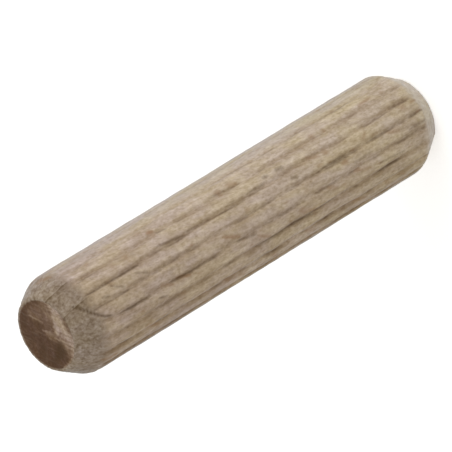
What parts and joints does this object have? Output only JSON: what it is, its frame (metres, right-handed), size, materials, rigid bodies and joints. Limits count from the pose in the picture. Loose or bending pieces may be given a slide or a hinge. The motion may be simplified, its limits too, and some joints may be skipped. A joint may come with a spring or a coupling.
{
  "type": "dowel pin",
  "caption": "Straight fluted wooden dowel pin with a chamfer at each end, glued and pressed into drilled holes to align and join wooden parts.",
  "frame": {"origin": "centre of the lower end face, on the surface that the pin stands on", "axes": "+Z along the pin's axis, up to the upper end face; +X and +Y each pass through the middle of a crest"},
  "size_m": [0.0082, 0.0082, 0.04],
  "materials": {
    "beech": "bare, with pressed flutes and sawn ends"
  },
  "bodies": {
    "root": {"dowel_pin": "beech"}
  },
  "joints": []
}
